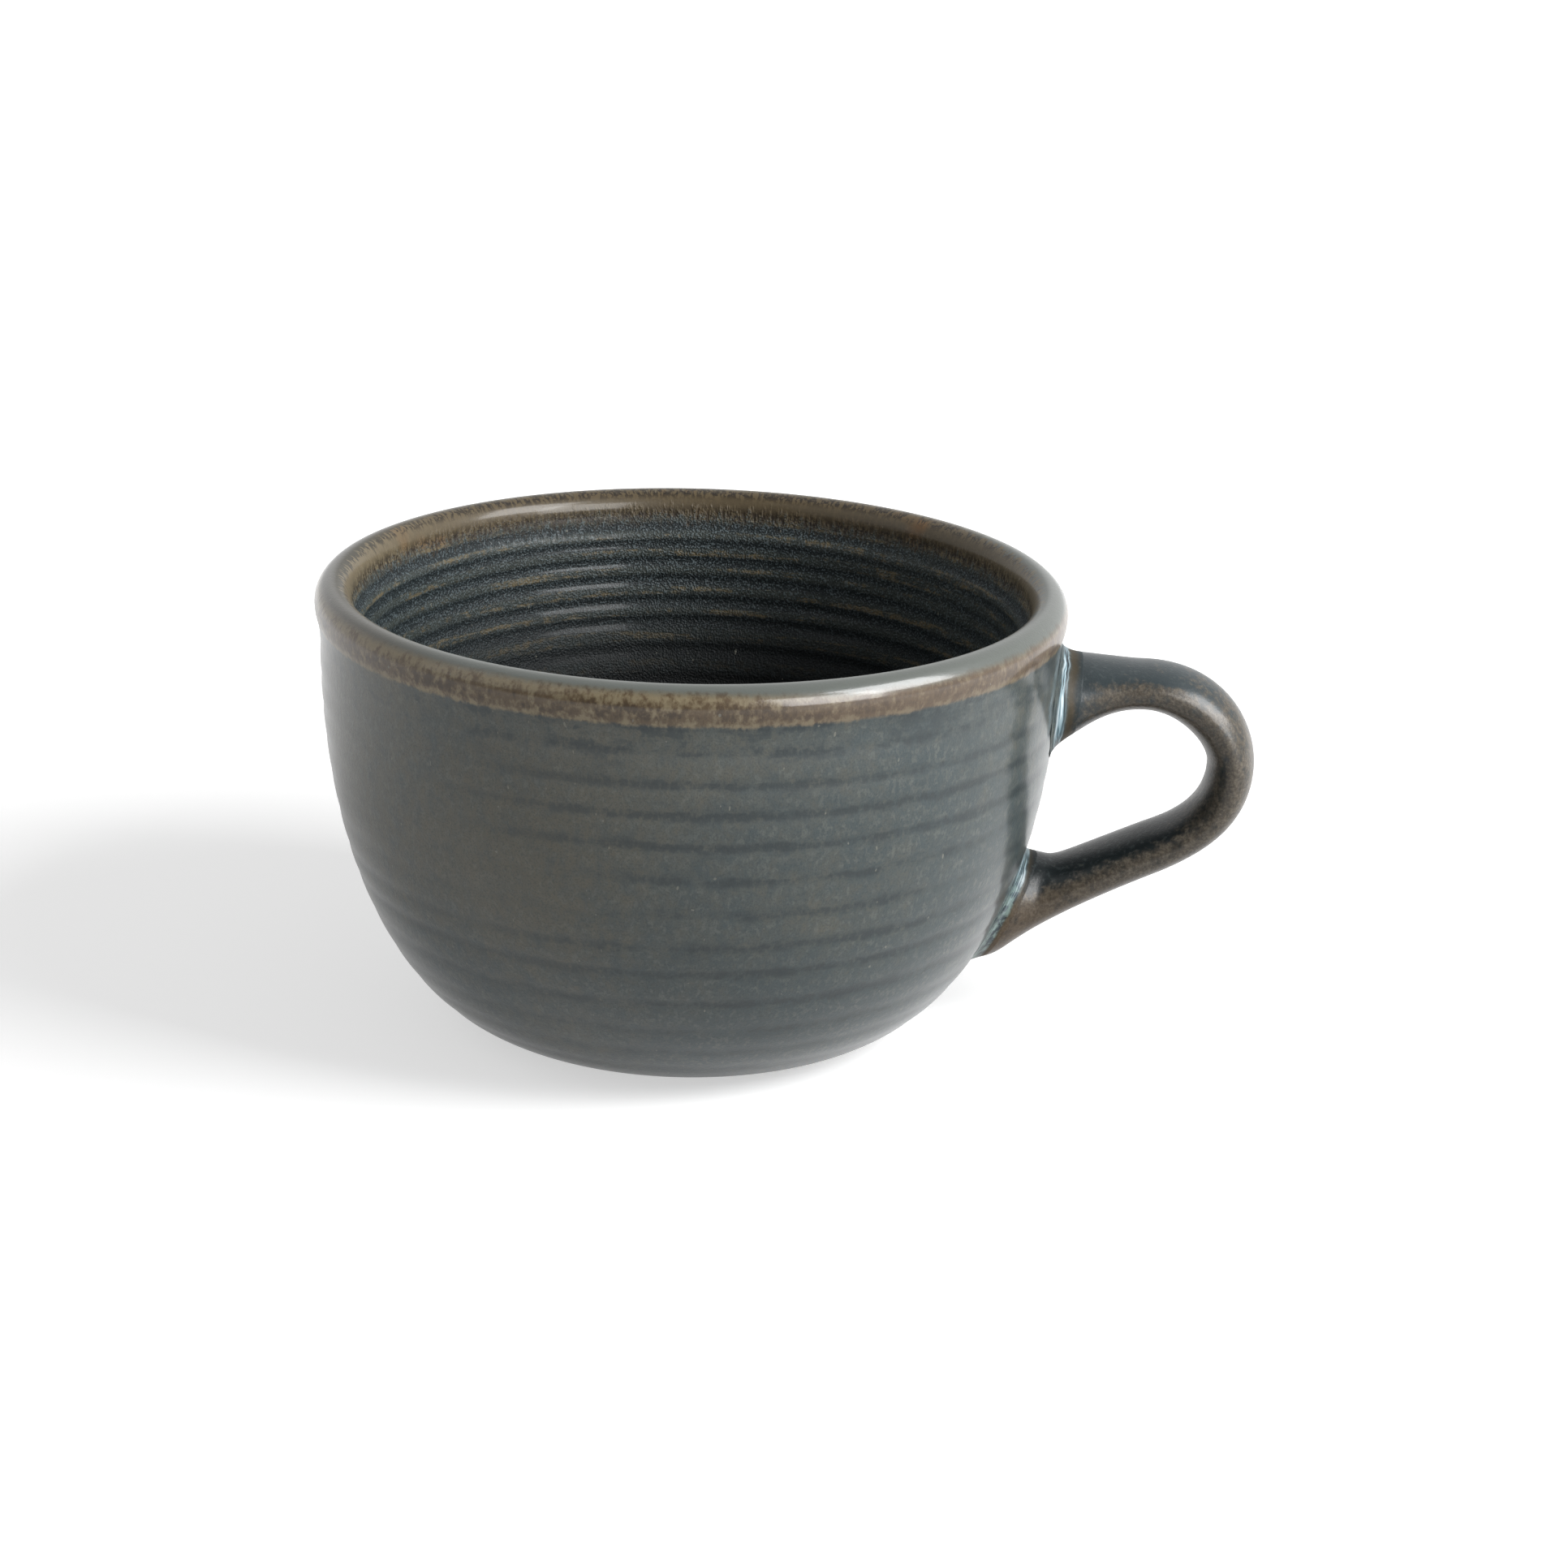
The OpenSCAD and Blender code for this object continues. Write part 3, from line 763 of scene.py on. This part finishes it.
slate_look = blend(strap_glaze, given["Dark"], strap_slate, strap_dark)
slate_look = over(strap_glaze, slate_look, strap_pale, fade(strap_glaze, marks["Cells"], 0.48, 0.72), 0.3)
broken = fade(strap_glaze, total(strap_glaze, given["Thin"], uneven), 0.15, 1.0)
strap_glaze.links.new(blend(strap_glaze, broken, slate_look, brown_look), out["Color"])
strap_glaze.links.new(total(strap_glaze, (marks["Grain"], 0.9), marks["Mottle"]), out["Height"])
print("group", strap_glaze.name)

# %% [markdown]
# ## Putting the glazes on
# A glaze is a layer of glass over a duller body, so it is the shader's coat over a rough base.
# One gloss all over could do, but a thick glaze shines more than a thin one. So the slate group
# says how glossy it is, and the ring that the cup stands on is bare clay with no coat.

# %% Shaders
base_shine, glass_ior = 0.16, 1.45
relief_strength, glaze_grain, pool_grain = 0.4, 0.1 * mm, 0.06 * mm


def attribute(tree, name):
    """A number kept at each point of the mesh."""
    return node(tree, "ShaderNodeAttribute", {}, attribute_name=name).outputs["Fac"]


def glazed(name, roughness, coat, coat_blur, bump):
    """A material with a satin glaze shader, and its tree, coordinates, shader and bump."""
    material = bpy.data.materials.new(name)
    material.use_nodes = True
    tree = material.node_tree
    shader = tree.nodes["Principled BSDF"]
    shader.inputs["Roughness"].default_value = roughness
    shader.inputs["Coat Weight"].default_value = coat
    shader.inputs["Specular IOR Level"].default_value = base_shine
    shader.inputs["Coat Roughness"].default_value = coat_blur
    shader.inputs["Coat IOR"].default_value = glass_ior
    relief = node(tree, "ShaderNodeBump", {"Strength": relief_strength, "Distance": bump})
    tree.links.new(relief.outputs[0], shader.inputs["Normal"])
    where = node(tree, "ShaderNodeTexCoord", {}).outputs["Object"]
    return material, tree, where, shader, relief


# %% Bowl material
bare_clay = tone(150, 134, 114)
glossy_rough, dull_rise, clay_rough = 0.36, 0.24, 0.9
bowl_coat, bowl_blur = 0.66, 0.15

bowl_glaze, tree, where, shader, relief = glazed(
    "slate_glaze", glossy_rough, bowl_coat, bowl_blur, glaze_grain)
made = use(tree, slate, {
    "Vector": where, "Groove": attribute(tree, "groove"), "Walk": attribute(tree, "rim_walk")})
clay = attribute(tree, "bare")
dull = times(tree, calc(tree, "SUBTRACT", 1.0, made["Gloss"]), dull_rise)
dull = total(tree, calc(tree, "MAXIMUM", dull, clay), glossy_rough)
coat = calc(tree, "SUBTRACT", times(tree, made["Gloss"], bowl_coat), clay)
tree.links.new(blend(tree, clay, made["Color"], bare_clay), shader.inputs["Base Color"])
tree.links.new(calc(tree, "MINIMUM", dull, clay_rough), shader.inputs["Roughness"])
tree.links.new(calc(tree, "MAXIMUM", coat, 0.0), shader.inputs["Coat Weight"])
tree.links.new(made["Height"], relief.inputs["Height"])
bowl.data.materials.append(bowl_glaze)
print("bowl wears", bowl_glaze.name)


# %% Handle material
def on_strap(tree, where):
    """The handle's glaze, which follows where the mesh says that it is thin or dark."""
    return use(tree, strap_glaze, {"Vector": where, "Thin": attribute(tree, "thin_glaze"),
                                   "Dark": attribute(tree, "dark_glaze")})


strap_rough, strap_coat, strap_blur = 0.38, 0.37, 0.26
strap_material, tree, where, shader, relief = glazed(
    "handle_glaze", strap_rough, strap_coat, strap_blur, glaze_grain)
made = on_strap(tree, where)
tree.links.new(made["Color"], shader.inputs["Base Color"])
tree.links.new(made["Height"], relief.inputs["Height"])
handle.data.materials.append(strap_material)
print("handle wears", strap_material.name)

# %% [markdown]
# ## Glaze pooled in the corners
# In the corners the glaze gathers thick, turns pale blue and runs in streaks along the seam,
# with an amber edge where it thins on the handle. The band knows how far across it each point
# lies, so it can wear the wall's glaze on one side, the handle's on the other, and the pool in
# between.

# %% Slip material: the glaze on either side of the pool
pool_rough, pool_smoother, pool_coat, pool_blur = 0.55, 0.15, 0.3, 0.3
plain_walk = 20.0
pool_amber = tone(62, 52, 34)

pooled, tree, where, shader, relief = glazed(
    "pooled_glaze", pool_rough, pool_coat, pool_blur, pool_grain)
_, y, z = apart(tree, where)
ripple = times(tree, calc(tree, "SUBTRACT", noise(tree, where, 0.3, 2.0, 2), 0.5), 0.3)
place = total(tree, attribute(tree, "across"), ripple)
wall_side = use(tree, slate, {"Vector": where, "Groove": 0.0, "Walk": plain_walk})
strap_side = on_strap(tree, where)
look = blend(tree, fade(tree, place, 0.5, 0.8), wall_side["Color"], strap_side["Color"])
amber = times(tree, fade(tree, place, 0.54, 0.68), fade(tree, place, 1.0, 0.74))
look = over(tree, look, pool_amber, amber, 0.7)
print("either side", len(tree.nodes), "nodes")

# %% Slip material: the pool
pool_ink, pool_blue, pool_green = tone(24, 32, 38), tone(70, 92, 100), tone(106, 122, 116)
pool_pale, pool_white = tone(132, 154, 162), tone(188, 200, 206)
threads_across, threads_along = 11.0, 150.0

comb = node(tree, "ShaderNodeCombineXYZ", {
    0: times(tree, place, threads_across), 1: times(tree, z, threads_along),
    2: times(tree, y, threads_along)}).outputs[0]
threads = node(tree, "ShaderNodeTexNoise", {0: comb, "Scale": 1.0, "Detail": 2.0}).outputs[0]
pool_look = blend(tree, fade(tree, threads, 0.36, 0.5), pool_ink, pool_blue)
pool_look = blend(tree, fade(tree, threads, 0.46, 0.56), pool_look, pool_pale)
pool_look = blend(tree, fade(tree, threads, 0.56, 0.66), pool_look, pool_white)
green_look = blend(tree, fade(tree, noise(tree, where, 0.9, 1.0, 3, 0.6), 0.4, 0.6), pool_ink, pool_green)
pool_look = over(tree, pool_look, green_look, fade(tree, z, 28 * mm, 18 * mm), 0.85)
narrow = calc(tree, "SUBTRACT", times(tree, fade(tree, z, 30 * mm, 40 * mm), 0.24), 0.12)
pool = times(tree, fade(tree, calc(tree, "SUBTRACT", place, narrow), 0.08, 0.28),
             fade(tree, total(tree, place, narrow), 0.74, 0.6))
rough = calc(tree, "SUBTRACT", pool_rough, times(tree, pool, pool_smoother))
tree.links.new(blend(tree, pool, look, pool_look), shader.inputs["Base Color"])
tree.links.new(rough, shader.inputs["Roughness"])
tree.links.new(times(tree, pool, pool_coat), shader.inputs["Coat Weight"])
tree.links.new(total(tree, strap_side["Height"], threads), relief.inputs["Height"])
for slip in (upper_slip, lower_slip):
    slip.data.materials.append(pooled)
print("slip wears", pooled.name)

# %% [markdown]
# ## Light and floor
# The cup stood in soft daylight from the right, in a white room. A large lamp stands for the
# window and a weaker one fills the left. The gleam is a third one, which shows only as a
# highlight: on the roll, the bend and inside. The world gives the rest, and what the glaze
# mirrors of it is dimmer in front. The floor and the world show as plain white, and the floor
# keeps the cup's shadow.

# %% Lamps
def lamp(name, place, size, power):
    """A square lamp of a given side that faces the middle of the cup."""
    data = bpy.data.lights.new(name, "AREA")
    data.shape, data.size, data.energy = "SQUARE", size, power
    back = np.array(place) - [0, 0, cup_h / 2]
    back = back / np.linalg.norm(back)
    right = np.cross([0, 0, 1], back)
    right = right / np.linalg.norm(right)
    facing_cup = Matrix(np.stack([right, np.cross(back, right), back], 1).tolist()).to_4x4()
    made = in_scene(name, data)
    made.matrix_world = Matrix.Translation(place) @ facing_cup
    return made


lamp("window", (0.62, -0.2, 0.5), 0.42, 9.8)
lamp("fill", (-0.7, -0.4, 0.6), 0.8, 1.4)
gleam = lamp("gleam", (0.6, -0.6, 0.36), 0.5, 10.5)
gleam.visible_diffuse = False
print("three lamps")


# %% Room
def ray_kinds(tree):
    """1 for rays that show a surface straight or through glass, and 1 for mirrored rays."""
    path = node(tree, "ShaderNodeLightPath", {}).outputs
    return calc(tree, "MAXIMUM", path["Is Camera Ray"], path["Is Transmission Ray"]), path["Is Glossy Ray"]


dim_side = (0.0, -0.9, 0.44)
room_least, room_scatter = 0.12, 0.3

world = bpy.data.worlds.new("room")
world.use_nodes = True
bpy.context.scene.world = world
tree = world.node_tree
seen, glossy = ray_kinds(tree)
toward = node(tree, "ShaderNodeTexCoord", {}).outputs["Generated"]
dim = node(tree, "ShaderNodeVectorMath", {0: toward, 1: dim_side}, operation="DOT_PRODUCT")
mirrored = calc(tree, "MAXIMUM", fade(tree, dim.outputs["Value"], 0.95, 0.1), room_least)
scattered = times(tree, calc(tree, "SUBTRACT", 1.0, glossy), room_scatter)
strength = calc(tree, "MAXIMUM", times(tree, glossy, mirrored), scattered)
background = tree.nodes["Background"].inputs
tree.links.new(calc(tree, "MAXIMUM", seen, strength), background["Strength"])
background["Color"].default_value = (1, 1, 1, 1)
print("room", len(tree.nodes), "nodes")

# %% Floor
floor_half = 4.0
floor_grey, floor_rough = (0.62, 0.62, 0.62, 1), 0.9
near_cup, far_off = 0.1, 0.4
seen_near, mirrored_near = 0.55, 0.35

floor_mesh = bpy.data.meshes.new("floor")
floor_mesh.from_pydata([(-floor_half, -floor_half, 0), (floor_half, -floor_half, 0),
                        (floor_half, floor_half, 0), (-floor_half, floor_half, 0)], [], [(0, 1, 2, 3)])
floor = in_scene("floor", floor_mesh)
floor_look = bpy.data.materials.new("floor")
floor_look.use_nodes = True
tree = floor_look.node_tree
shader = tree.nodes["Principled BSDF"]
shader.inputs["Base Color"].default_value = floor_grey
shader.inputs["Roughness"].default_value = floor_rough
shader.inputs["Specular IOR Level"].default_value = 0.0
shader.inputs["Emission Strength"].default_value = 1.0
seen, glossy = ray_kinds(tree)
where = node(tree, "ShaderNodeTexCoord", {}).outputs["Object"]
from_cup = node(tree, "ShaderNodeVectorMath", {0: where}, operation="LENGTH").outputs["Value"]
away = fade(tree, from_cup, near_cup, far_off)
shown = times(tree, seen, total(tree, seen_near, (away, 1 - seen_near)))
mirrored = times(tree, glossy, total(tree, mirrored_near, (away, 1 - mirrored_near)))
tree.links.new(calc(tree, "MAXIMUM", shown, mirrored), shader.inputs["Emission Color"])
floor.data.materials.append(floor_look)
bpy.context.scene.view_settings.view_transform = "Standard"
print("stage set")

# %% [markdown]
# ## Hand the pieces to the frame
# Each skin rides on the cup's one body and stands for its solid.

# %% Join the frame
for piece, solid, finish in ((bowl, "bowl", "slate_glaze"), (handle, "handle", "handle_glaze"),
                             (upper_slip, "upper_slip_joint", "pooled_glaze"),
                             (lower_slip, "lower_slip_joint", "pooled_glaze")):
    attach(piece, "root")
    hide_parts(solid)
